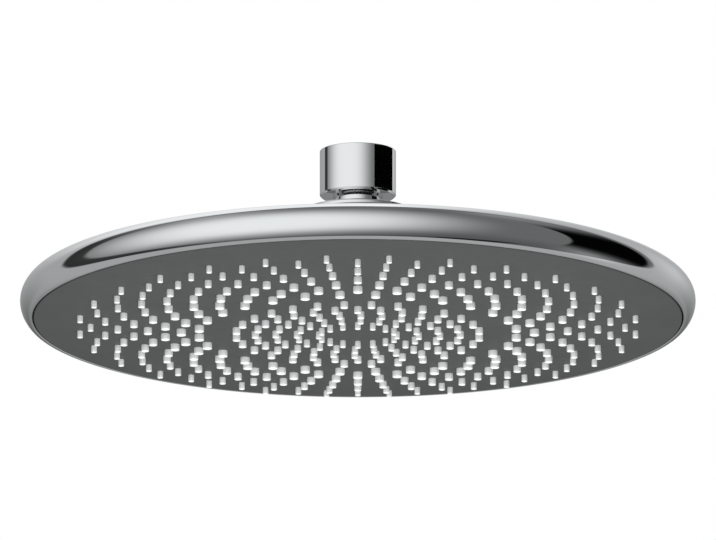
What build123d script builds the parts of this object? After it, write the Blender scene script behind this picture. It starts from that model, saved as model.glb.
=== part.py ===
from build123d import *
import math
import os

os.makedirs("parts", exist_ok=True)

# Rain shower head, 250 mm, hung from a G1/2 male pipe end.
# Millimetres, +Z up.  The origin is on the axis, at the mouth of the inlet
# thread.  Heights below are written from the plane of the spray face's edge
# and shifted down by EDGE_TO_MOUTH when a piece is made.

# ---- driving dimensions ---------------------------------------------------
EDGE_TO_MOUTH = 62.8        # face edge plane up to the mouth of the thread
NUT_R = 14.1                # round union nut
NUT_BOTTOM = 46.65
NUT_TOP = 63.6
THREAD_R = 9.32             # G1/2 female thread, crest radius
MOUTH_R = 10.2              # lead-in chamfer at the mouth
BALL_R = 8.0
BALL_Z = 50.7               # centre of the ball joint
BALL_FIT = 0.05             # running clearance of ball and rings
THREAD_END = 55.7           # thread runs out into the washer's groove
GROOVE_R, GROOVE_END = 10.6, 53.4
WASHER_R = 10.3
CAVITY_R = 9.2              # ball cavity under the groove
RING_R = 9.14               # the two rings run in the cavity
NECK_R = 6.2
COLLAR_R = 8.3
COLLAR_TOP = 45.5
COLLAR_BOTTOM = 43.6
TAIL_R = 6.4
TAIL_BOTTOM = 21.0
BORE_R = 3.6                # waterway
RIM_C = (116.7, 6.5)        # centre of the rolled rim's section
RIM_R = 8.35                # rim radius outwards and below
RIM_UP = 7.96               # rim height above its centre
LIP_R = 121.45              # inside of the rim's lip
FACE_R = 121.0              # spray face
FACE_SAG = 5.34             # the face bulges down by this
FACE_FLAT_R = 17.6          # flat middle of the face
FACE_T = 2.4
MAT_T = 1.5
MAT_R = 112.2
GAP = 0.05                  # stacking gap on curved seats
CEILING = 7.0               # chamber ceiling
COVER_TOP = 9.2
RING_WALL_TOP = 6.2         # top of the face plate's rim wall
HUB_R = 12.0
HUB_TOP = 39.5
SCREW_R_IN, SCREW_N_IN = 52.2, 6
SCREW_R_OUT, SCREW_N_OUT = 115.6, 12
NOZZLE_HOLE_GAP = 0.15      # hole in the face round a nozzle
ORIFICE_R = 0.45

# nozzle rings: radius, count, first angle (clockwise from the front, seen
# from below), nozzle diameter
STEP = 360.0 / 56.0
RINGS = [
    (14.47, 16, 0.0, 2.15),
    (22.58, 20, STEP * 0.4, 2.35),
    (30.39, 24, STEP / 3.0, 2.55),
    (37.91, 28, 0.0, 2.75),
    (45.20, 28, STEP, 2.90),
    (59.12, 28, STEP, 3.50),
    (65.45, 28, 0.0, 3.50),
    (71.78, 28, STEP, 3.30),
    (77.82, 28, 0.0, 3.05),
    (83.52, 28, STEP, 2.80),
    (88.96, 28, 0.0, 2.55),
    (94.22, 28, STEP, 2.30),
    (99.07, 28, 0.0, 2.15),
    (103.58, 28, STEP, 2.10),
]


def nozzle_length(d):
    # how far a nozzle stands out of the face
    return 2.95 - 0.2 * d


# ---- helpers --------------------------------------------------------------
def lift(pts):
    return [(r, z - EDGE_TO_MOUTH) for r, z in pts]


def path(*pts):
    # straight runs through (radius, height) points
    p = lift(pts)
    return [Line(a, b) for a, b in zip(p[:-1], p[1:])]


def arc(a, b, c):
    return ThreePointArc(*lift([a, b, c]))


def spline(pts, t0, t1):
    return Spline(*lift(pts), tangents=(t0, t1))


def turn(edges):
    # closed (radius, height) section turned about the axis
    face = Plane.XZ * make_face(edges)
    return revolve(face, Axis.Z, 360)


def turned(*pts):
    return turn(path(*pts, pts[0]))


def ball_r(radius, h):
    # radius of a sphere's section at height h from its centre
    return math.sqrt(radius * radius - h * h)


def rod(radius, z0, z1, x=0.0, y=0.0):
    return Pos(x, y, z0 - EDGE_TO_MOUTH) * Cylinder(
        radius, z1 - z0, align=(Align.CENTER, Align.CENTER, Align.MIN))


def o_ring(centre_r, minor_r, z):
    return Pos(0, 0, z - EDGE_TO_MOUTH) * Torus(centre_r, minor_r)


def at(radius, deg):
    # angle clockwise from the front, seen from below
    a = math.radians(deg)
    return radius * math.sin(a), -radius * math.cos(a)


# the face's bulge: flat in the middle, then one long arc to the edge
FACE_ARC_R = ((FACE_R - FACE_FLAT_R) ** 2 + FACE_SAG ** 2) / (2 * FACE_SAG)


def sag(r):
    if r <= FACE_FLAT_R:
        return 0.0
    d = r - FACE_FLAT_R
    return FACE_ARC_R - math.sqrt(FACE_ARC_R ** 2 - d * d)


def face_z(r, up=0.0):
    return -FACE_SAG + sag(r) + up


def bulge(r0, r1, up):
    # arc of the face's bulge between two radii, raised by up
    m = 0.5 * (r0 + r1)
    return arc((r0, face_z(r0, up)), (m, face_z(m, up)), (r1, face_z(r1, up)))


NOZZLES = [(r, d) + at(r, ph + k * 360.0 / n)
           for r, n, ph, d in RINGS for k in range(n)]
SCREWS = ([at(SCREW_R_IN, k * 360.0 / SCREW_N_IN) for k in range(SCREW_N_IN)],
          [at(SCREW_R_OUT, 15 + k * 360.0 / SCREW_N_OUT) for k in range(SCREW_N_OUT)])

parts = {}

# ---- union nut ------------------------------------------------------------
E = 0.35
parts["union_nut"] = turned(
    (8.25, NUT_BOTTOM), (NUT_R - E, NUT_BOTTOM), (NUT_R, NUT_BOTTOM + E),
    (NUT_R, NUT_TOP - E), (NUT_R - E, NUT_TOP), (MOUTH_R, NUT_TOP),
    (THREAD_R, EDGE_TO_MOUTH), (THREAD_R, THREAD_END), (GROOVE_R, THREAD_END),
    (GROOVE_R, GROOVE_END), (CAVITY_R, GROOVE_END), (CAVITY_R, 48.0), (7.75, 48.0),
    (7.75, NUT_BOTTOM + 0.55))

# ---- inlet washer and strainer --------------------------------------------
parts["inlet_washer"] = turned(
    (5.6, 53.65), (WASHER_R, 53.65), (WASHER_R, 55.65), (6.5, 55.65), (6.5, 55.25), (5.6, 55.25))

# the screen is a shallow pan with a flat rim
parts["inlet_strainer"] = turned(
    (0, 53.95), (3.3, 53.95), (5.3, 55.25), (6.4, 55.25), (6.4, 55.65),
    (5.2, 55.65), (3.15, 54.3), (0, 54.3))

# ---- the two rings of the ball joint --------------------------------------
SEAT_R = BALL_R + BALL_FIT


def seat_ring(h0, h1, outer):
    m = 0.5 * (h0 + h1)
    return turn(
        [arc((ball_r(SEAT_R, h0), BALL_Z + h0), (ball_r(SEAT_R, m), BALL_Z + m),
             (ball_r(SEAT_R, h1), BALL_Z + h1))]
        + path((ball_r(SEAT_R, h1), BALL_Z + h1), (outer, BALL_Z + h1),
               (outer, BALL_Z + h0), (ball_r(SEAT_R, h0), BALL_Z + h0)))


parts["ball_slide_ring"] = seat_ring(-2.65, -1.1, RING_R)
parts["ball_seal_ring"] = seat_ring(-0.9, 2.9, RING_R)

# ---- ball, neck, collar and tail, turned from one bar ----------------------
CUT = 1.5                   # flat top of the ball, above its centre
hn = -math.sqrt(BALL_R ** 2 - NECK_R ** 2)
parts["ball_stem"] = turn(
    [arc((ball_r(BALL_R, CUT), BALL_Z + CUT), (BALL_R, BALL_Z), (NECK_R, BALL_Z + hn))]
    + path((NECK_R, BALL_Z + hn), (NECK_R, COLLAR_TOP), (COLLAR_R - 0.35, COLLAR_TOP),
           (COLLAR_R, COLLAR_TOP - 0.35), (COLLAR_R, COLLAR_BOTTOM),
           (TAIL_R, COLLAR_BOTTOM), (TAIL_R, 26.9), (5.0, 26.9), (5.0, 24.5),
           (TAIL_R, 24.5), (TAIL_R, TAIL_BOTTOM + 0.6), (TAIL_R - 0.6, TAIL_BOTTOM),
           (BORE_R, TAIL_BOTTOM), (BORE_R, 46.7), (5.0, 46.7), (5.0, BALL_Z + CUT),
           (ball_r(BALL_R, CUT), BALL_Z + CUT)))

# ---- flow regulator in the ball's bore -------------------------------------
reg = turned((0.9, 46.75), (4.9, 46.75), (4.9, 48.3), (4.1, 48.3), (4.1, 49.8),
             (4.9, 49.8), (4.9, 51.6), (4.0, 51.6), (4.0, 49.9), (0.9, 49.9))
reg = reg - [rod(0.6, 46.0, 50.5, *at(2.6, k * 60.0)) for k in range(6)]
parts["flow_regulator"] = reg
parts["regulator_o_ring"] = o_ring(4.55, 0.42, 49.05)

# ---- gasket under the collar, ring on the tail -----------------------------
parts["stem_gasket"] = turned((6.75, 42.9), (8.0, 42.9), (8.0, 43.6), (6.75, 43.6))
parts["stem_o_ring"] = o_ring(5.88, 0.84, 25.7)

# ---- chrome dome with its rolled rim ---------------------------------------
cr, cz = RIM_C


def rim_low(deg):
    a = math.radians(deg)
    return cr + RIM_R * math.cos(a), cz - RIM_R * math.sin(a)


def rim_high(deg):
    a = math.radians(deg)
    return cr + RIM_R * math.cos(a), cz + RIM_UP * math.sin(a)


lip0 = rim_low(50.6)
LIP_ROUND = 0.336
lc = (LIP_R + LIP_ROUND, lip0[1] + 0.26)
dome_outer = [rim_high(78.0), (110, 15.97), (100, 17.9), (80, 21.9), (60, 26.2),
              (45, 30.25), (35, 33.75), (28, 36.75), (23, 38.95), (19.1, 40.55),
              (15.8, 41.75), (12, 42.7), (8.25, 43.4)]
dome_inner = [(12.5, 39.5), (17.6, 38.2), (22, 36.4), (28, 33.8), (35, 30.9),
              (45, 27.5), (60, 23.4), (80, 19.15), (100, 15.15), (112, 12.75), (117, 11.7)]
housing = turn(
    path((6.7, 39.5), (6.7, 42.9), (8.25, 42.9), (8.25, 43.4))
    + [spline(dome_outer[::-1], (1, -0.19), (1, -0.2035)),
       spline([rim_high(a) for a in (78, 60, 40, 20, 0)], (1, -0.2035), (0, -1)),
       arc(rim_low(0), rim_low(25.3), lip0),
       arc(lip0, (lc[0] - 0.07, lc[1] - 0.3286), (LIP_R, lc[1]))]
    + path((LIP_R, lc[1]), (LIP_R, 8.0))
    + [arc((LIP_R, 8.0), (120.2, 10.5), (117, 11.7)),
       spline(dome_inner[::-1], (-1, 0.21), (-1, 0.2))]
    + path((12.5, 39.5), (6.7, 39.5)))
parts["housing_shell"] = housing

# ---- grey spray face --------------------------------------------------------
# convex disc with a rim wall and bosses for the screws
disc = turn(
    path((0, face_z(0)), (FACE_FLAT_R, face_z(0)))
    + [bulge(FACE_FLAT_R, FACE_R - 0.4, 0.0)]
    + path((FACE_R - 0.4, face_z(FACE_R - 0.4)), (FACE_R, face_z(FACE_R) + 0.35),
           (FACE_R, 2.2), (120.2, 2.6), (120.2, RING_WALL_TOP), (112.6, RING_WALL_TOP),
           (112.6, face_z(112.6, FACE_T)))
    + [bulge(112.6, FACE_FLAT_R, FACE_T)]
    + path((FACE_FLAT_R, face_z(0, FACE_T)), (0, face_z(0, FACE_T)), (0, face_z(0))))
for x, y in SCREWS[0]:
    disc += rod(3.2, face_z(SCREW_R_IN, 0.6), CEILING, x, y)
holes = [rod(d / 2 + NOZZLE_HOLE_GAP, -8.0, 6.0, x, y) for r, d, x, y in NOZZLES]
holes += [rod(1.5, face_z(SCREW_R_IN, 1.2), CEILING + 1, x, y) for x, y in SCREWS[0]]
holes += [rod(1.5, -0.2 + 1.4, RING_WALL_TOP + 1, x, y) for x, y in SCREWS[1]]
parts["face_plate"] = disc - holes

# ---- silicone nozzle mat ----------------------------------------------------
lo = FACE_T + GAP
mat = turn(
    path((0, face_z(0, lo)), (FACE_FLAT_R, face_z(0, lo)))
    + [bulge(FACE_FLAT_R, MAT_R, lo)]
    + path((MAT_R, face_z(MAT_R, lo)), (MAT_R, face_z(MAT_R, lo + MAT_T)))
    + [bulge(MAT_R, FACE_FLAT_R, lo + MAT_T)]
    + path((FACE_FLAT_R, face_z(0, lo + MAT_T)), (0, face_z(0, lo + MAT_T)), (0, face_z(0, lo))))
pegs = [rod(d / 2, face_z(r) - nozzle_length(d), face_z(r, lo + 0.7), x, y)
        for r, d, x, y in NOZZLES]
bores = [rod(ORIFICE_R, -12.0, 8.0, x, y) for r, d, x, y in NOZZLES]
bores += [rod(3.5, -8.0, 8.0, x, y) for x, y in SCREWS[0]]
parts["nozzle_mat"] = mat.fuse(*pegs) - bores

# ---- back half of the water chamber ------------------------------------------
cover = turn(
    path((5.0, CEILING), (108.6, CEILING), (108.6, face_z(108.6, lo + MAT_T) + GAP))
    + [bulge(108.6, MAT_R, lo + MAT_T + GAP)]
    + path((MAT_R, face_z(MAT_R, lo + MAT_T) + GAP), (112.4, RING_WALL_TOP - 0.6),
           (112.4, RING_WALL_TOP), (119.0, RING_WALL_TOP), (119.0, COVER_TOP),
           (HUB_R, COVER_TOP), (HUB_R, HUB_TOP), (9.5, HUB_TOP), (9.5, 29.0),
           (6.75, 29.0), (6.75, 20.5), (5.0, 20.5), (5.0, CEILING)))
web = Plane.XZ * make_face(path((HUB_R - 0.5, COVER_TOP - 0.5), (66, COVER_TOP - 0.5),
                                (66, 11.5), (24, 26.0), (HUB_R - 0.5, 30.0),
                                (HUB_R - 0.5, COVER_TOP - 0.5)))
web = extrude(web, amount=1.0, both=True)
for k in range(6):
    cover += Rot(0, 0, k * 60.0) * web
cuts = [rod(1.7, 0.0, 30.0, x, y) for x, y in SCREWS[0]]
cuts += [rod(1.7, 0.0, 30.0, x, y) for x, y in SCREWS[1]]
parts["chamber_cover"] = cover - cuts

# ---- threaded brass insert in the hub -----------------------------------------
parts["hub_insert"] = turned((6.5, 29.0), (9.45, 29.0), (9.45, 33.0), (8.9, 33.0),
                             (8.9, 35.0), (9.45, 35.0), (9.45, 39.3), (6.5, 39.3))


# ---- screws --------------------------------------------------------------------
def screw(x, y, length):
    z = COVER_TOP - EDGE_TO_MOUTH
    head = turned((0, COVER_TOP), (2.8, COVER_TOP), (2.8, COVER_TOP + 1.0),
                  (2.2, COVER_TOP + 1.7), (0, COVER_TOP + 1.8))
    slot = Pos(0, 0, z + 1.8) * (Box(3.0, 0.7, 1.8) + Box(0.7, 3.0, 1.8))
    shank = rod(1.4, COVER_TOP - length, COVER_TOP)
    return Pos(x, y, 0) * (head - slot + shank)


parts["chamber_screws"] = Compound(children=[screw(x, y, 8.0) for x, y in SCREWS[0]]
                                   + [screw(x, y, 7.0) for x, y in SCREWS[1]])

for name, shape in parts.items():
    export_step(shape, f"parts/{name}.step")
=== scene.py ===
import math

import bmesh
import bpy
import numpy as np
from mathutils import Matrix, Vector
from mathutils.geometry import delaunay_2d_cdt


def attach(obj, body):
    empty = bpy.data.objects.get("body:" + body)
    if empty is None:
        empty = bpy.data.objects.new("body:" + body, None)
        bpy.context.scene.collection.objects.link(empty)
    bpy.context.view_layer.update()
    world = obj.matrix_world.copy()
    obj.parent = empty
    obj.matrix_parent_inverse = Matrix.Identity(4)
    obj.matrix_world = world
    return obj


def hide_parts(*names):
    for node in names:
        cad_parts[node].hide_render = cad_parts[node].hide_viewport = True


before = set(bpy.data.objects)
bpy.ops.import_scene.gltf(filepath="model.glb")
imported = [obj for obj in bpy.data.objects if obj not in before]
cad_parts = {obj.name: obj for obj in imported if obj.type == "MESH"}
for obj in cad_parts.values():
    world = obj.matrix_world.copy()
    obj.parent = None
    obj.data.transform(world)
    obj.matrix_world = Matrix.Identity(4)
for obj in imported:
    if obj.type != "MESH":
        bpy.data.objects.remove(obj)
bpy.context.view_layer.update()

MM = 0.001
EDGE = 62.8                 # face edge plane below the origin, mm
scene = bpy.context.scene
scene.view_settings.view_transform = "Standard"
scene.view_settings.look = "None"
scene.view_settings.exposure = 0.0
scene.view_settings.gamma = 1.0


# ---------------------------------------------------------------------------
# camera: looks up at the face from 14 degrees below, no perspective
# ---------------------------------------------------------------------------
TILT = math.radians(14.0)
PX = 0.3702 * MM            # one pixel of the 716 x 540 frame
cam_data = bpy.data.cameras.new("camera")
cam_data.type = "ORTHO"
cam_data.ortho_scale = 716 * PX
cam_data.clip_start = 0.01
cam_data.clip_end = 60.0
cam = bpy.data.objects.new("camera", cam_data)
scene.collection.objects.link(cam)
aim = Vector((0.15 * PX, 0.0, (317.95 - 270.0) * PX / math.cos(TILT) - EDGE * MM))
look = Vector((0.0, math.cos(TILT), math.sin(TILT)))
cam.location = aim - look * 0.6
cam.rotation_euler = (math.radians(90.0) + TILT, 0.0, 0.0)
scene.camera = cam


# ---------------------------------------------------------------------------
# node helpers
# ---------------------------------------------------------------------------
class Ex:
    """A number in a shader tree; arithmetic adds Math nodes."""

    def __init__(self, tree, value):
        self.tree, self.value = tree, value

    def op(self, kind, *others, clamp=False):
        n = self.tree.nodes.new("ShaderNodeMath")
        n.operation = kind
        n.use_clamp = clamp
        for i, v in enumerate((self, *others)):
            v = v.value if isinstance(v, Ex) else v
            if isinstance(v, (int, float)):
                n.inputs[i].default_value = v
            else:
                self.tree.links.new(v, n.inputs[i])
        return Ex(self.tree, n.outputs[0])

    def __add__(self, o): return self.op("ADD", o)
    def __radd__(self, o): return self.op("ADD", o)
    def __sub__(self, o): return self.op("SUBTRACT", o)
    def __rsub__(self, o): return Ex(self.tree, o).op("SUBTRACT", self)
    def __mul__(self, o): return self.op("MULTIPLY", o)
    def __rmul__(self, o): return self.op("MULTIPLY", o)
    def __truediv__(self, o): return self.op("DIVIDE", o)
    def __pow__(self, o): return self.op("POWER", o)
    def low(self, o): return self.op("MINIMUM", o)
    def high(self, o): return self.op("MAXIMUM", o)
    def abs(self): return self.op("ABSOLUTE")

    def step(self, a, b):
        """Smooth step from 0 at a to 1 at b."""
        n = self.tree.nodes.new("ShaderNodeMapRange")
        n.interpolation_type = "SMOOTHSTEP"
        self.tree.links.new(self.value, n.inputs["Value"])
        lo, hi = (a, b) if a < b else (b, a)
        n.inputs["From Min"].default_value = lo
        n.inputs["From Max"].default_value = hi
        n.inputs["To Min"].default_value = 0.0 if a < b else 1.0
        n.inputs["To Max"].default_value = 1.0 if a < b else 0.0
        return Ex(self.tree, n.outputs["Result"])

    def window(self, a, b, soft_a, soft_b):
        return self.step(a - soft_a, a + soft_a) * self.step(b + soft_b, b - soft_b)


def mix(t, a, b):
    return a + (b - a) * t


def glow(u, v, u0, v0, du, dv):
    """Soft round patch about (u0, v0)."""
    p, q = (u - u0) / du, (v - v0) / dv
    return ((p * p + q * q) * -1.0).op("EXPONENT")


# ---------------------------------------------------------------------------
# studio: a white sweep, one large soft front light a little to the left, a
# black flag on the right, grey surroundings below and behind
# ---------------------------------------------------------------------------
def build_world():
    world = bpy.data.worlds.new("studio")
    scene.world = world
    world.use_nodes = True
    t = world.node_tree
    t.nodes.clear()
    out = t.nodes.new("ShaderNodeOutputWorld")
    coord = t.nodes.new("ShaderNodeTexCoord")
    sep = t.nodes.new("ShaderNodeSeparateXYZ")
    t.links.new(coord.outputs["Generated"], sep.inputs[0])
    x = Ex(t, sep.outputs[0])
    y = Ex(t, sep.outputs[1])
    z = Ex(t, sep.outputs[2])
    f = y * -1.0                                   # towards the front
    az = x.op("ARCTAN2", f) * (180.0 / math.pi)    # 0 front, + right
    el = z.op("ARCSINE") * (180.0 / math.pi)
    away = az.abs()

    # front light: brightest in one direction, falling off with the angle
    ga, ge = math.radians(-32.2), math.radians(6.5)
    g = (math.sin(ga) * math.cos(ge), math.cos(ga) * math.cos(ge), math.sin(ge))
    front = (x * g[0] + f * g[1] + z * g[2]).step(0.03, 1.0) * 132.0 + 101.0

    # edge of the front area
    neg = z.low(0.0)
    edge_low = neg * neg * 0.80 - 0.487
    edge_high = ((1.0 - z * z).high(0.0) ** 0.5 * (z.step(0.2, 0.7) * 0.06 + 0.5)).high(0.27) * -1.0
    s = f - mix(z.step(-0.05, 0.05), edge_low, edge_high)
    inside = s.step(-0.02, 0.03)
    front = front * (1.0 - s.step(1.5, 0.1) * z.step(-0.25, -0.8) * 0.17)
    # dark frame of the front light, strongest on the left
    depth = (az.step(-62.0, -96.0) * 0.46 + az.window(46.0, 74.0, 8.0, 4.0) * 0.55
             + (1.0 - az.step(68.0, 80.0)) * 0.1)
    front = front * (1.0 - s.window(0.02, 0.225, 0.03, 0.035) * el.step(58.0, 28.0) * depth)
    # soft patches high on both sides and low on the right
    front = front + glow(away, el, 102.0, 66.0, 26.0, 13.0) * 28.0
    front = front * (1.0 - x.step(0.0, 0.5) * el.step(66.0, 76.0) * 0.2)
    flag = az.window(77.6, 115.5, 1.2, 2.0) * el.step(53.0, 26.0) * el.step(-31.0, -5.0)
    front = front * (1.0 - flag * 0.995)
    front = front + glow(az, el, 98.0, -36.0, 12.0, 8.0) * 38.0

    # behind: grey, whiter high up, white sweep right behind
    left = x.step(0.15, -0.15)
    back_l = 159.0 + el.step(14.0, 54.0) * away.step(113.0, 141.0) * 76.0
    back_r = (161.0 + el.step(30.0, 68.0) * away.step(114.0, 172.0) * 53.0
              + glow(az, el, 138.0, 13.0, 20.0, 22.0) * 30.0)
    back = mix(left, back_r, back_l)
    back = back + (away.step(156.0, 182.0) * el.step(13.0, 28.0) * 46.0
                   * (1.0 - left * el.step(32.0, 54.0) * 0.85))
    back = back - away.step(126.0, 190.0) * el.step(20.0, -4.0) * (1.0 - el.step(-6.0, -16.0) * 0.55 - el.step(-16.0, -40.0) * 0.45) * 70.0
    back = back + glow(az, el, 106.0, -35.0, 9.0, 10.0) * 30.0
    back = back.low(242.0)

    shade = (mix(inside, back, front) / 255.0).high(0.0)
    gain = ((shade + 0.055) / 1.055) ** 2.4 * 1.055

    studio = t.nodes.new("ShaderNodeBackground")
    studio.inputs["Color"].default_value = (0.972, 0.992, 1.0, 1.0)
    t.links.new(gain.value, studio.inputs["Strength"])
    white = t.nodes.new("ShaderNodeBackground")
    white.inputs["Color"].default_value = (1.0, 1.0, 1.0, 1.0)
    white.inputs["Strength"].default_value = 1.0
    path = t.nodes.new("ShaderNodeLightPath")
    pick = t.nodes.new("ShaderNodeMixShader")
    t.links.new(path.outputs["Is Camera Ray"], pick.inputs[0])
    t.links.new(studio.outputs[0], pick.inputs[1])
    t.links.new(white.outputs[0], pick.inputs[2])
    t.links.new(pick.outputs[0], out.inputs["Surface"])


build_world()


def area_light(name, where, target, size, watts, shape="DISK"):
    d = bpy.data.lights.new(name, "AREA")
    d.shape = shape
    d.size = size
    d.energy = watts
    o = bpy.data.objects.new(name, d)
    scene.collection.objects.link(o)
    o.location = where
    o.rotation_euler = (Vector(target) - Vector(where)).to_track_quat("-Z", "Y").to_euler()
    o.visible_glossy = False
    o.visible_camera = False
    return o


# soft light on the face from below, a little from the front
area_light("face_light", (0.04, -0.20, -0.75), (0, 0, -0.06), 0.7, 7.2)


# ---------------------------------------------------------------------------
# materials
# ---------------------------------------------------------------------------
def new_material(name):
    m = bpy.data.materials.new(name)
    m.use_nodes = True
    t = m.node_tree
    t.nodes.clear()
    out = t.nodes.new("ShaderNodeOutputMaterial")
    b = t.nodes.new("ShaderNodeBsdfPrincipled")
    t.links.new(b.outputs[0], out.inputs["Surface"])
    coord = t.nodes.new("ShaderNodeTexCoord")
    return m, t, b, coord


def noise(t, coord, scale, detail=2.0, rough=0.5, stretch=None):
    n = t.nodes.new("ShaderNodeTexNoise")
    n.inputs["Scale"].default_value = scale
    n.inputs["Detail"].default_value = detail
    n.inputs["Roughness"].default_value = rough
    src = coord.outputs["Object"]
    if stretch:
        mp = t.nodes.new("ShaderNodeMapping")
        mp.inputs["Scale"].default_value = stretch
        t.links.new(src, mp.inputs["Vector"])
        src = mp.outputs[0]
    t.links.new(src, n.inputs["Vector"])
    return n.outputs[0]


def ramp(t, value, lo, hi, a=0.3, b=0.7):
    """Colour between lo and hi as value goes from a to b."""
    r = t.nodes.new("ShaderNodeValToRGB")
    r.color_ramp.elements[0].position = a
    r.color_ramp.elements[1].position = b
    r.color_ramp.elements[0].color = (*lo, 1.0)
    r.color_ramp.elements[1].color = (*hi, 1.0)
    t.links.new(value, r.inputs[0])
    return r.outputs[0]


def span(t, value, lo, hi, a=0.3, b=0.7):
    n = t.nodes.new("ShaderNodeMapRange")
    t.links.new(value, n.inputs["Value"])
    n.inputs["From Min"].default_value = a
    n.inputs["From Max"].default_value = b
    n.inputs["To Min"].default_value = lo
    n.inputs["To Max"].default_value = hi
    return n.outputs["Result"]


def bump(t, b, height, strength, distance):
    n = t.nodes.new("ShaderNodeBump")
    n.inputs["Strength"].default_value = strength
    n.inputs["Distance"].default_value = distance
    t.links.new(height, n.inputs["Height"])
    t.links.new(n.outputs[0], b.inputs["Normal"])


def chrome(name, tint, wave, rough=(0.012, 0.035)):
    m, t, b, c = new_material(name)
    b.inputs["Metallic"].default_value = 1.0
    haze = noise(t, c, 55.0, 3.0, 0.55)
    t.links.new(ramp(t, haze, [v * 0.985 for v in tint], tint), b.inputs["Base Color"])
    fine = noise(t, c, 420.0, 4.0, 0.6)
    t.links.new(span(t, fine, *rough), b.inputs["Roughness"])
    bump(t, b, noise(t, c, 38.0, 1.0, 0.4), wave, 0.0006)
    return m


def plastic(name, lo, hi, rough, grain, strength, depth=0.00006, patch=90.0, spec=0.5):
    m, t, b, c = new_material(name)
    t.links.new(ramp(t, noise(t, c, patch, 4.0, 0.6), lo, hi), b.inputs["Base Color"])
    t.links.new(span(t, noise(t, c, patch * 3.1, 3.0, 0.6), *rough), b.inputs["Roughness"])
    b.inputs["Specular IOR Level"].default_value = spec
    bump(t, b, noise(t, c, grain, 2.0, 0.5), strength, depth)
    return m


def metal(name, lo, hi, rough, stretch=(1.0, 1.0, 12.0), scale=300.0):
    m, t, b, c = new_material(name)
    b.inputs["Metallic"].default_value = 1.0
    lines = noise(t, c, scale, 3.0, 0.6, stretch)
    t.links.new(ramp(t, lines, lo, hi), b.inputs["Base Color"])
    t.links.new(span(t, lines, *rough), b.inputs["Roughness"])
    bump(t, b, lines, 0.12, 0.00004)
    return m


mat_chrome_shell = chrome("chrome_shell", (0.945, 0.95, 0.955), 0.010)
mat_chrome_brass = chrome("chrome_brass", (0.945, 0.95, 0.955), 0.0015)
mat_face = plastic("face_grey", (0.0625, 0.0635, 0.0635), (0.068, 0.069, 0.069),
                   (0.55, 0.66), 2600.0, 0.20, 0.00005, 40.0, 0.12)


def silicone(name):
    m, t, b, c = new_material(name)
    t.links.new(ramp(t, noise(t, c, 160.0, 3.0, 0.6), (0.88, 0.89, 0.89), (0.94, 0.95, 0.95)),
                b.inputs["Base Color"])
    t.links.new(span(t, noise(t, c, 700.0, 2.0, 0.5), 0.34, 0.46), b.inputs["Roughness"])
    b.inputs["Subsurface Weight"].default_value = 0.35
    b.inputs["Subsurface Radius"].default_value = (1.0, 1.0, 1.0)
    b.inputs["Subsurface Scale"].default_value = 0.0012
    bump(t, b, noise(t, c, 3000.0, 2.0, 0.5), 0.10, 0.00003)
    return m


mat_silicone = silicone("nozzle_silicone")
mat_chamber = plastic("chamber_plastic", (0.022, 0.022, 0.024), (0.036, 0.036, 0.038),
                      (0.40, 0.55), 1800.0, 0.25)
mat_rubber = plastic("black_rubber", (0.016, 0.016, 0.017), (0.028, 0.028, 0.029),
                     (0.55, 0.75), 2200.0, 0.35, 0.00008, 220.0, 0.3)
mat_ring = plastic("ring_plastic", (0.70, 0.70, 0.67), (0.80, 0.80, 0.77),
                   (0.30, 0.42), 2400.0, 0.15, 0.00004, 260.0)
mat_regulator = plastic("regulator_plastic", (0.05, 0.24, 0.12), (0.08, 0.31, 0.16),
                        (0.32, 0.45), 2400.0, 0.18, 0.00004, 300.0)
mat_brass = metal("bare_brass", (0.66, 0.46, 0.18), (0.80, 0.60, 0.27), (0.20, 0.34))
# darker metal for the ball and neck: painted shade of the gap between collar and nut, in place of the chrome, which
# would mirror the bright studio
mat_ball_neck_painted_shade = metal("ball_neck_painted_shade", (0.30, 0.32, 0.31), (0.40, 0.42, 0.41), (0.16, 0.28), (1.0, 1.0, 8.0))
mat_steel = metal("steel", (0.50, 0.50, 0.51), (0.66, 0.66, 0.67), (0.18, 0.32))

NODE_MATERIAL = {
    "face_plate": mat_face, "chamber_cover": mat_chamber, "inlet_washer": mat_rubber,
    "ball_seal_ring": mat_rubber, "regulator_o_ring": mat_rubber, "stem_gasket": mat_rubber,
    "stem_o_ring": mat_rubber, "ball_slide_ring": mat_ring, "flow_regulator": mat_regulator,
    "hub_insert": mat_brass, "chamber_screws": mat_steel, "inlet_strainer": mat_steel,
    "union_nut": mat_chrome_brass, "ball_stem": mat_chrome_brass,
    "housing_shell": mat_chrome_shell, "nozzle_mat": mat_silicone,
}
for node, material in NODE_MATERIAL.items():
    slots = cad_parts[node].data.materials
    slots.clear()
    slots.append(material)


# ---------------------------------------------------------------------------
# mesh helpers
# ---------------------------------------------------------------------------
def piece(name, verts, faces, material, sharp=32.0):
    me = bpy.data.meshes.new(name)
    me.from_pydata([tuple(v) for v in verts], [], faces)
    me.validate()
    me.polygons.foreach_set("use_smooth", [True] * len(me.polygons))
    me.set_sharp_from_angle(angle=math.radians(sharp))
    me.materials.append(material)
    o = bpy.data.objects.new(name, me)
    scene.collection.objects.link(o)
    return o


def lathe(profile, n, closed=True):
    """Turned surface from (radius, height above the face edge) in mm."""
    verts, faces, rows = [], [], []
    for r, z in profile:
        if r < 1e-6:
            rows.append([len(verts)] * n)
            verts.append((0.0, 0.0, (z - EDGE) * MM))
            continue
        rows.append(list(range(len(verts), len(verts) + n)))
        for k in range(n):
            a = 2 * math.pi * k / n
            verts.append((r * math.cos(a) * MM, r * math.sin(a) * MM, (z - EDGE) * MM))
    m = len(profile)
    for i in range(m if closed else m - 1):
        p, q = rows[i], rows[(i + 1) % m]
        for k in range(n):
            j = (k + 1) % n
            f = [p[k], p[j], q[j], q[k]]
            f = [v for i2, v in enumerate(f) if v not in f[:i2]]
            if len(f) > 2:
                faces.append(f)
    return verts, faces


def outward(o):
    bm = bmesh.new()
    bm.from_mesh(o.data)
    bmesh.ops.recalc_face_normals(bm, faces=bm.faces)
    bm.to_mesh(o.data)
    bm.free()


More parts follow.
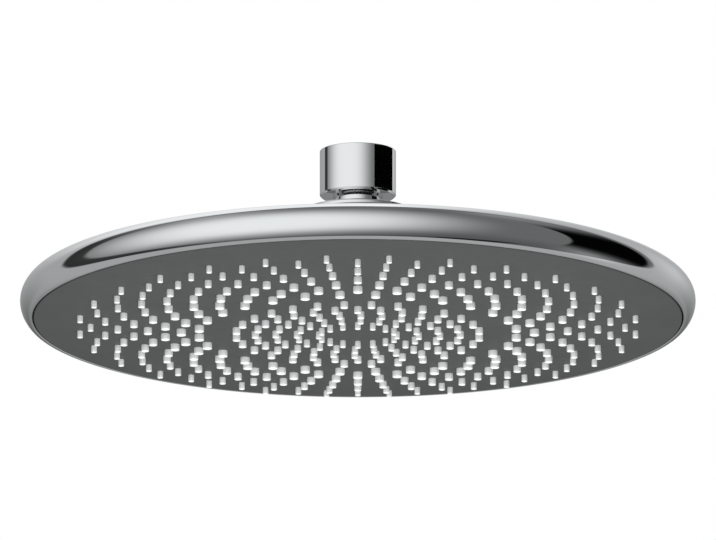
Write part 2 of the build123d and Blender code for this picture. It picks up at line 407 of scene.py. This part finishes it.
def run(a, b, n):
    return [(a[0] + (b[0] - a[0]) * i / n, a[1] + (b[1] - a[1]) * i / n) for i in range(n)]


def fillet(a, c, b, r, n=5):
    """Round the corner c between a and b with radius r."""
    a, c, b = (np.array(v, float) for v in (a, c, b))
    u, v = a - c, b - c
    u, v = u / np.linalg.norm(u), v / np.linalg.norm(v)
    half = math.acos(float(np.clip(u @ v, -1, 1))) / 2
    d = r / math.tan(half)
    centre = c + (u + v) / np.linalg.norm(u + v) * (r / math.sin(half))
    p, q = c + u * d - centre, c + v * d - centre
    a0 = math.atan2(p[1], p[0])
    a1 = math.atan2(q[1], q[0])
    da = (a1 - a0 + math.pi) % (2 * math.pi) - math.pi
    return [tuple(centre + r * np.array([math.cos(a0 + da * i / n), math.sin(a0 + da * i / n)]))
            for i in range(n + 1)]


def rounded(points, radii, n=5):
    """Closed profile with its corners rounded."""
    out, m = [], len(points)
    for i, p in enumerate(points):
        r = radii[i]
        if r <= 0:
            out.append(p)
        else:
            out += fillet(points[i - 1], p, points[(i + 1) % m], r, n)
    return out


def hold(profile, eps=0.06, least=0.4, closed=True):
    """Add a loop close to both ends of every long run, so that it shades flat."""
    out, m = [], len(profile)
    for i, p in enumerate(profile):
        out.append(p)
        if i == m - 1 and not closed:
            break
        q = profile[(i + 1) % m]
        d = math.hypot(q[0] - p[0], q[1] - p[1])
        if d > least:
            for k in (eps / d, 1.0 - eps / d):
                out.append((p[0] + (q[0] - p[0]) * k, p[1] + (q[1] - p[1]) * k))
    return out


def clamped_spline(pts, t0, t1, samples):
    """Cubic spline through pts with given end directions, sampled evenly."""
    p = np.array(pts, float)
    d = np.linalg.norm(np.diff(p, axis=0), axis=1)
    t = np.concatenate([[0], np.cumsum(d)])
    m = len(p)
    A = np.zeros((m, m))
    B = np.zeros((m, 2))
    A[0, 0] = A[-1, -1] = 1.0
    B[0] = np.array(t0, float) / np.linalg.norm(t0)
    B[-1] = np.array(t1, float) / np.linalg.norm(t1)
    for i in range(1, m - 1):
        h0, h1 = d[i - 1], d[i]
        A[i, i - 1], A[i, i], A[i, i + 1] = h1, 2 * (h0 + h1), h0
        B[i] = 3 * (h1 * (p[i] - p[i - 1]) / h0 + h0 * (p[i + 1] - p[i]) / h1)
    k = np.linalg.solve(A, B)
    out = []
    for u in np.linspace(0, t[-1], samples):
        i = min(int(np.searchsorted(t, u, side="right")) - 1, m - 2)
        h = d[i]
        s = (u - t[i]) / h
        out.append(tuple((2 * s**3 - 3 * s**2 + 1) * p[i] + (s**3 - 2 * s**2 + s) * h * k[i]
                         + (-2 * s**3 + 3 * s**2) * p[i + 1] + (s**3 - s**2) * h * k[i + 1]))
    return out


def add(o, body, slot, *nodes):
    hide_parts(*nodes)
    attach(o, body)
    return o


# ---------------------------------------------------------------------------
# chrome dome with its rolled rim
# ---------------------------------------------------------------------------
CR, CZ, RIM, RIM_UP = 116.7, 6.5, 8.35, 7.96
LIP_TURN, LIP_BEND, LIP_ROUND = 43.0, 2.65, 0.42


def rim_low(deg):
    a = math.radians(deg)
    return CR + RIM * math.cos(a), CZ - RIM * math.sin(a)


def rim_high(deg):
    a = math.radians(deg)
    return CR + RIM * math.cos(a), CZ + RIM_UP * math.sin(a)


BOSS = [(8.25, 43.4), (21.0, 40.37), (21.15, 38.8), (28, 36.35)]
boss = hold([BOSS[0]] + fillet(*BOSS[:3], 0.7, 9) + fillet(*BOSS[1:], 0.5, 7), closed=False)
dome = boss[:-1] + clamped_spline(
    [boss[-1], (28, 36.33), (35, 33.85), (45, 30.4), (60, 26.2), (80, 21.9), (100, 17.9),
     (110, 15.97), rim_high(78.0)],
    (1, (BOSS[3][1] - BOSS[2][1]) / (BOSS[3][0] - BOSS[2][0])), (1, -0.2035), 100)
inner = clamped_spline(
    [(117, 11.7), (112, 12.75), (100, 15.15), (80, 19.15), (60, 23.4), (45, 27.5), (35, 30.9),
     (28, 33.8), (22, 36.4), (17.6, 38.2), (12.5, 39.5)], (-1, 0.21), (-1, 0.2), 26)
turn0 = rim_low(LIP_TURN)
ta = math.radians(LIP_TURN)
bend_c = (turn0[0] - LIP_BEND * math.cos(ta), turn0[1] + LIP_BEND * math.sin(ta))
lip_bend = [(bend_c[0] + LIP_BEND * math.cos(a), bend_c[1] - LIP_BEND * math.sin(a))
            for a in np.radians(np.linspace(LIP_TURN, 90.0, 18))]
lip_c = (lip_bend[-1][0], lip_bend[-1][1] + LIP_ROUND)
LIP = lip_c[0] - LIP_ROUND
lip_arc = [(lip_c[0] - LIP_ROUND * math.sin(a), lip_c[1] - LIP_ROUND * math.cos(a))
           for a in np.radians(np.linspace(10.0, 90.0, 9))]
profile = ([(6.7, 39.5), (6.7, 42.9), (8.15, 42.9), (8.15, 43.34)]
           + dome[:-1]
           + [rim_high(a) for a in np.linspace(78.0, 2.0, 39)]
           + [rim_low(a) for a in np.linspace(0.0, LIP_TURN, 24)]
           + lip_bend[1:] + lip_arc
           + [(LIP, 2.9), (121.5, 4.0), (121.5, 8.0), (121.05, 9.5), (119.9, 10.9), (118.6, 11.5)]
           + inner[:-1] + [(12.5, 39.5)])
v, f = lathe(profile, 360)
housing = piece("dome_shell", v, f, mat_chrome_shell, 40.0)
outward(housing)
add(housing, "head", "chrome_shell", "housing_shell")

# ---------------------------------------------------------------------------
# union nut: turned outside, G1/2 thread inside
# ---------------------------------------------------------------------------
NUT_LO, NUT_HI, NUT_R = 46.28, 63.6, 14.1
outer = rounded([(9.4, NUT_LO), (NUT_R - 0.55, NUT_LO), (NUT_R, NUT_LO + 0.55), (NUT_R, NUT_HI), (10.9, NUT_HI)],
                [0.0, 0.12, 0.12, 0.35, 0.0], 6)
PITCH, MINOR, MAJOR = 1.814, 9.32, 10.46
TN = 128


def thread_depth(u):
    """Groove depth, 0 to 1, over one pitch; 55 degree flanks, rounded."""
    u = u % 1.0
    w = abs(u - 0.5) * 2.0
    return min(max((0.86 - w) / 0.72, 0.0), 1.0)


verts, faces = [], []
prof = hold(outer, closed=False)
# outside and top
for r, z in prof:
    for k in range(TN):
        a = 2 * math.pi * k / TN
        verts.append((r * math.cos(a), r * math.sin(a), z))
rows = len(prof)
# threaded wall from the mouth down to the groove
zs = np.linspace(NUT_HI - 0.02, 55.7, 92)
for z in zs:
    lead = max(0.0, (z - 62.8) / 0.8)                      # lead-in chamfer
    fade = min(1.0, max(0.0, (z - 55.9) / 0.9)) * min(1.0, max(0.0, (63.45 - z) / 0.5))
    for k in range(TN):
        a = 2 * math.pi * k / TN
        g = thread_depth(z / PITCH - a / (2 * math.pi))
        g = g * g * (3 - 2 * g)
        r = MINOR + (MAJOR - MINOR) * g * fade
        r = max(r, MINOR + 1.5 * lead)
        verts.append((r * math.cos(a), r * math.sin(a), z))
rows += len(zs)
tail = [(MINOR, 55.7), (10.6, 55.7), (10.6, 53.4), (9.2, 53.4), (9.2, 48.0), (7.75, 48.0), (7.75, 47.37)]
for r, z in tail:
    for k in range(TN):
        a = 2 * math.pi * k / TN
        verts.append((r * math.cos(a), r * math.sin(a), z))
rows += len(tail)
for i in range(rows):
    for k in range(TN):
        j = (k + 1) % TN
        p, q = i * TN, ((i + 1) % rows) * TN
        faces.append((p + k, p + j, q + j, q + k))
verts = [(x * MM, y * MM, (z - EDGE) * MM) for x, y, z in verts]
nut = piece("round_nut", verts, faces, mat_chrome_brass, 34.0)
outward(nut)
add(nut, "inlet", "chrome_brass", "union_nut")

# ---------------------------------------------------------------------------
# ball, neck and collar
# ---------------------------------------------------------------------------
BALL_R, BALL_Z, NECK_R = 8.0, 50.7, 6.2
a0 = math.asin(1.5 / BALL_R)
a1 = -math.acos(NECK_R / BALL_R)
ball = [(BALL_R * math.cos(a), BALL_Z + BALL_R * math.sin(a)) for a in np.linspace(a0, a1, 40)]
collar = rounded([(NECK_R + 0.3, 45.35), (8.3, 45.35), (8.3, 43.6), (6.4, 43.6)], [0, 0.2, 0.1, 0], 6)
stem_prof = (ball + [(NECK_R + 0.02, 45.41), (NECK_R + 0.1, 45.35)] + collar[1:]
             + [(6.4, 39.0), (6.4, 26.9), (5.0, 26.9), (5.0, 24.5), (6.4, 24.5), (6.4, 21.6),
                (5.8, 21.0), (3.6, 21.0), (3.6, 46.7), (5.0, 46.7), (5.0, 52.2)])
v, f = lathe(hold(stem_prof), 160)
stem = piece("ball_and_collar", v, f, mat_chrome_brass, 34.0)
outward(stem)
stem.data.materials.append(mat_ball_neck_painted_shade)
for q in stem.data.polygons:                               # ball and neck in darker metal: painted shade of the gap between collar and nut
    if q.center.z > (45.38 - EDGE) * MM and math.hypot(q.center.x, q.center.y) > 5.6 * MM:
        q.material_index = 1
add(stem, "head", "chrome_brass", "ball_stem")

# ---------------------------------------------------------------------------
# silicone mat and nozzles
# ---------------------------------------------------------------------------
FACE_R, FACE_LOW, FLAT_R, FACE_T = 120.08, 5.44, 20.8, 2.4
ARC_R, MARGIN_R, MARGIN_ARC_R = 1047.0, 106.0, 143.0
m_slope = (MARGIN_R - FLAT_R) / ARC_R
m_rise = ARC_R * (1 - math.sqrt(1 - m_slope ** 2))
M_CENTRE = (MARGIN_R - MARGIN_ARC_R * m_slope, m_rise + MARGIN_ARC_R * math.sqrt(1 - m_slope ** 2))


def face_z(r):
    if r <= FLAT_R:
        return -FACE_LOW
    if r <= MARGIN_R:
        return -FACE_LOW + ARC_R - math.sqrt(ARC_R ** 2 - (r - FLAT_R) ** 2)
    return -FACE_LOW + M_CENTRE[1] - math.sqrt(MARGIN_ARC_R ** 2 - (r - M_CENTRE[0]) ** 2)


STEP = 360.0 / 56.0
RINGS = [
    (14.47, 16, 0.0, 2.15), (22.58, 20, STEP * 0.4, 2.35), (30.39, 24, STEP / 3.0, 2.55),
    (37.91, 28, 0.0, 2.75), (45.20, 28, STEP, 2.90), (59.04, 28, STEP, 3.50),
    (65.36, 28, 0.0, 3.50), (71.69, 28, STEP, 3.30), (77.72, 28, 0.0, 3.05),
    (83.41, 28, STEP, 2.80), (88.84, 28, 0.0, 2.55), (94.10, 28, STEP, 2.30),
    (98.94, 28, 0.0, 2.15), (103.45, 28, STEP, 2.10),
]
NS = 20
verts, faces = [], []
for r, n, ph, d in RINGS:
    R = d / 2
    tip = face_z(r) - (2.95 - 0.2 * d)
    top = face_z(r) + FACE_T + 0.05
    e = min(0.20, 0.12 * d)
    T = R * 0.985
    prof = [(R, top), (R, face_z(r)), (R * 0.997, face_z(r) - 0.6), (T, tip + e)]
    prof += [(T - e + e * math.cos(a), tip + e - e * math.sin(a)) for a in (0.4, 0.8, 1.2, math.pi / 2)]
    prof += [(0.34, tip), (0.27, tip + 0.07), (0.27, tip + 1.1), (0.0, tip + 1.25)]
    for k in range(n):
        a = math.radians(ph + k * 360.0 / n)
        cx, cy = r * math.sin(a), -r * math.cos(a)
        base = len(verts)
        for i, (pr, pz) in enumerate(prof[:-1]):
            for s in range(NS):
                b = 2 * math.pi * s / NS
                verts.append((cx + pr * math.cos(b), cy + pr * math.sin(b), pz))
        verts.append((cx, cy, prof[-1][1]))
        last = len(verts) - 1
        for i in range(len(prof) - 2):
            for s in range(NS):
                j = (s + 1) % NS
                faces.append((base + i * NS + s, base + (i + 1) * NS + s,
                              base + (i + 1) * NS + j, base + i * NS + j))
        i = len(prof) - 2
        for s in range(NS):
            faces.append((base + i * NS + s, last, base + i * NS + (s + 1) % NS))
# the mat itself, behind the face
mat_prof = [(r, face_z(r) + FACE_T + 0.05) for r in np.linspace(0, 112.2, 24)]
mat_prof += [(r, face_z(r) + FACE_T + 1.55) for r in np.linspace(112.2, 0, 24)]
mv, mf = lathe([(r * 1.0, z) for r, z in mat_prof], 96, closed=False)
base = len(verts)
verts = [(x * MM, y * MM, (z - EDGE) * MM) for x, y, z in verts] + mv
faces += [tuple(base + i for i in q) for q in mf]
nozzles = piece("nozzles_and_mat", verts, faces, mat_silicone, 60.0)
add(nozzles, "head", "nozzle_silicone", "nozzle_mat")

# ---------------------------------------------------------------------------
# grey face: convex disc with a hole round every nozzle
# ---------------------------------------------------------------------------
HN = 22
holes = []
for r, n, ph, d in RINGS:
    for k in range(n):
        a = math.radians(ph + k * 360.0 / n)
        holes.append((r * math.sin(a), -r * math.cos(a), d / 2 + 0.15))
hole_xy = np.array([(x, y) for x, y, _ in holes])
hole_r = np.array([h for _, _, h in holes])
pts, edges = [], []
for x, y, h in holes:
    base = len(pts)
    for k in range(HN):
        b = 2 * math.pi * k / HN
        pts.append((x + h * math.cos(b), y + h * math.sin(b)))
        edges.append((base + k, base + (k + 1) % HN))
EDGE_R = FACE_R - 0.4
base, ON = len(pts), 360
for k in range(ON):
    b = 2 * math.pi * k / ON
    pts.append((EDGE_R * math.cos(b), EDGE_R * math.sin(b)))
    edges.append((base + k, base + (k + 1) % ON))
for r in [0.0, 4.0, 8.0, 12.0, FLAT_R] + list(np.linspace(25.5, 117.6, 25)):
    n = max(1, int(2 * math.pi * r / 4.2))
    for k in range(n):
        b = 2 * math.pi * (k + 0.37 * (r % 2)) / n
        q = np.array((r * math.cos(b), r * math.sin(b)))
        if (np.hypot(*(hole_xy - q).T) > hole_r + 0.45).all():
            pts.append((float(q[0]), float(q[1])))
cv, _, ct, *_ = delaunay_2d_cdt([Vector(p) for p in pts], edges, [], 0, 1e-6)
cv = np.array([(v[0], v[1]) for v in cv])
tri = []
for q in ct:
    if len(q) != 3:
        continue
    m = cv[list(q)].mean(axis=0)
    if math.hypot(*m) < EDGE_R and (np.hypot(*(hole_xy - m).T) > hole_r * 0.97).all():
        u, w = cv[q[1]] - cv[q[0]], cv[q[2]] - cv[q[0]]
        tri.append(tuple(q) if u[0] * w[1] - u[1] * w[0] < 0 else (q[0], q[2], q[1]))
rad = np.hypot(cv[:, 0], cv[:, 1])
low = [face_z(float(r)) for r in rad]
verts = [(x * MM, y * MM, (z - EDGE) * MM) for (x, y), z in zip(cv, low)]
verts += [(x * MM, y * MM, (z + FACE_T - EDGE) * MM) for (x, y), z in zip(cv, low)]
N = len(cv)
faces = list(tri)
faces += [(a + N, c + N, b + N) for a, b, c in tri]
count = {}
for q in tri:
    for a, b in ((q[0], q[1]), (q[1], q[2]), (q[2], q[0])):
        count[(a, b)] = 1
for a, b in count:
    if (b, a) not in count and rad[a] < EDGE_R - 1.0:      # hole wall
        faces.append((b, a, a + N, b + N))
# edge and rim wall behind it
rim = [(EDGE_R, face_z(EDGE_R)), (FACE_R - 0.08, face_z(FACE_R) + 0.12), (FACE_R, face_z(FACE_R) + 0.4),
       (FACE_R, 2.2), (119.2, 2.6), (119.2, 6.2), (112.6, 6.2), (112.6, face_z(112.6) + FACE_T)]
rv, rf = lathe(rim, ON, closed=False)
base = len(verts)
verts += rv
faces += [tuple(base + i for i in q) for q in rf]
for k in range(6):                                         # screw bosses
    a = math.radians(k * 60.0)
    bv, bf = lathe([(3.2, face_z(52.2) + FACE_T), (3.2, 7.0), (1.5, 7.0), (1.5, face_z(52.2) + FACE_T + 0.2)], 24, closed=False)
    base = len(verts)
    verts += [(x + 52.2 * MM * math.sin(a), y - 52.2 * MM * math.cos(a), z) for x, y, z in bv]
    faces += [tuple(base + i for i in q) for q in bf]
face = piece("spray_face", verts, faces, mat_face, 35.0)
add(face, "head", "face_grey", "face_plate")

# ---------------------------------------------------------------------------
# strainer: woven wire in a pressed rim
# ---------------------------------------------------------------------------
def pan_z(r):
    if r < 3.2:
        return 54.12
    return 54.12 + (min(r, 5.3) - 3.2) * (55.45 - 54.12) / 2.1


verts, faces = [], []
WIRE, GAP_W, NW = 0.09, 0.62, 17
for axis in (0, 1):
    for i in range(NW):
        c = (i - (NW - 1) / 2) * GAP_W
        if abs(c) > 5.25:
            continue
        half = math.sqrt(max(0.0, 5.35 ** 2 - c * c))
        steps = max(6, int(half * 2 / 0.31))
        pts = []
        for s in range(steps + 1):
            u = -half + 2 * half * s / steps
            lift = WIRE * math.cos(math.pi * (u / GAP_W + i + axis))
            pts.append((u, c, pan_z(math.hypot(u, c)) + lift))
        base = len(verts)
        for u, w, z in pts:
            for q in range(5):
                b = 2 * math.pi * q / 5
                p = (u, w + WIRE * math.cos(b), z + WIRE * math.sin(b))
                verts.append(p if axis == 0 else (p[1], p[0], p[2]))
        for s in range(len(pts) - 1):
            for q in range(5):
                j = (q + 1) % 5
                faces.append((base + s * 5 + q, base + s * 5 + j, base + (s + 1) * 5 + j, base + (s + 1) * 5 + q))
verts = [(x * MM, y * MM, (z - EDGE) * MM) for x, y, z in verts]
rv, rf = lathe(rounded([(5.15, 55.27), (6.38, 55.27), (6.38, 55.63), (5.15, 55.63)], [0.1, 0.1, 0.1, 0.1], 3), 72)
base = len(verts)
verts += rv
faces += [tuple(base + i for i in q) for q in rf]
screen = piece("woven_strainer", verts, faces, mat_steel, 40.0)
outward(screen)
add(screen, "inlet", "steel", "inlet_strainer")

# ---------------------------------------------------------------------------
# pale floor under the hung head
# ---------------------------------------------------------------------------
m, t, b, c = new_material("floor_pale")
t.links.new(ramp(t, noise(t, c, 3.0, 3.0, 0.5), (0.86, 0.86, 0.86), (0.90, 0.90, 0.90)), b.inputs["Base Color"])
t.links.new(span(t, noise(t, c, 60.0, 3.0, 0.5), 0.6, 0.75), b.inputs["Roughness"])
FZ = -0.42
fl = 14.0
floor = piece("floor", [(-fl, -fl, FZ), (fl, -fl, FZ), (fl, fl, FZ), (-fl, fl, FZ)], [(0, 1, 2, 3)], m)
floor.visible_glossy = False
floor.visible_diffuse = False
floor.visible_shadow = False

# narrow black flag that only the nut's side reflects, beside it and out of view
m, t, b, c = new_material("flag_black")
t.links.new(ramp(t, noise(t, c, 40.0, 2.0, 0.5), (0.0, 0.0, 0.0), (0.002, 0.002, 0.002)), b.inputs["Base Color"])
b.inputs["Specular IOR Level"].default_value = 0.0
b.inputs["Roughness"].default_value = 1.0
verts, faces = [], []
FLAG_R = 24.0
rise = math.tan(TILT)
for k in range(25):
    h = math.radians(25.6 + (65.3 - 25.6) * k / 24)        # side of the nut that sees this column
    run_out = -NUT_R * math.cos(h) + math.sqrt(FLAG_R ** 2 - (NUT_R * math.sin(h)) ** 2)
    a = h + math.asin(run_out * math.sin(h) / FLAG_R)
    for z in (46.75 + run_out * rise, 64.2 + run_out * rise):
        verts.append((FLAG_R * math.sin(a) * MM, -FLAG_R * math.cos(a) * MM, (z - EDGE) * MM))
faces = [(2 * k, 2 * k + 2, 2 * k + 3, 2 * k + 1) for k in range(24)]
flag = piece("nut_flag", verts, faces, m)
flag.visible_camera = False
flag.visible_diffuse = False
flag.visible_shadow = False
flag.visible_transmission = False

# pale back of the flag, so that the dome below doesn't mirror a black patch
m, t, b, c = new_material("flag_pale")
t.links.new(ramp(t, noise(t, c, 40.0, 2.0, 0.5), (0.47, 0.47, 0.47), (0.50, 0.50, 0.50)), b.inputs["Emission Color"])
b.inputs["Emission Strength"].default_value = 1.0
b.inputs["Base Color"].default_value = (0.0, 0.0, 0.0, 1.0)
b.inputs["Specular IOR Level"].default_value = 0.0
b.inputs["Roughness"].default_value = 1.0
back = piece("nut_flag_back", [(x * 1.008, y * 1.008, z) for x, y, z in verts], faces, m)
back.visible_camera = False
back.visible_diffuse = False
back.visible_shadow = False
back.visible_transmission = False
